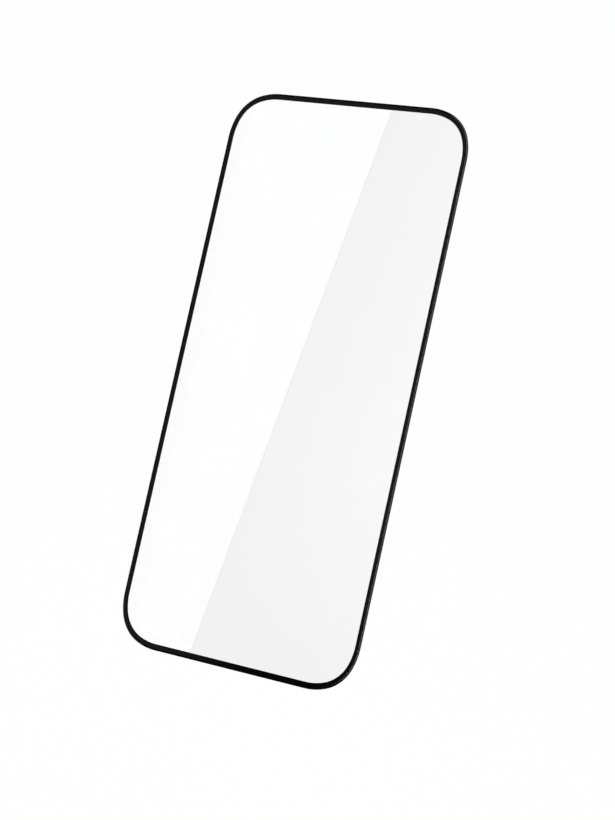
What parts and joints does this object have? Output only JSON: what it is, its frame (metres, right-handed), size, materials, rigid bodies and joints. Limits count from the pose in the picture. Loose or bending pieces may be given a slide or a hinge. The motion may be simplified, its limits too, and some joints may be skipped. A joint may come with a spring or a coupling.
{
  "type": "phone screen protector",
  "caption": "Flat tempered glass sheet with large rounded corners, a polished front edge and a printed black border, which bonds to a phone's screen by a clear adhesive layer on its back.",
  "frame": {"origin": "middle of the flat adhesive face that bonds to the phone, which the part lies on", "axes": "+X across the screen, +Y up the screen along its length, +Z out of the front of the glass"},
  "size_m": [0.069, 0.147, 0.0005],
  "materials": {
    "glass": "clear tempered glass, polished",
    "border_ink": "opaque black printed ink, matte",
    "adhesive": "clear soft silicone adhesive"
  },
  "bodies": {
    "root": {"glass_pane": "glass", "black_border": "border_ink", "adhesive_layer": "adhesive"}
  },
  "joints": []
}
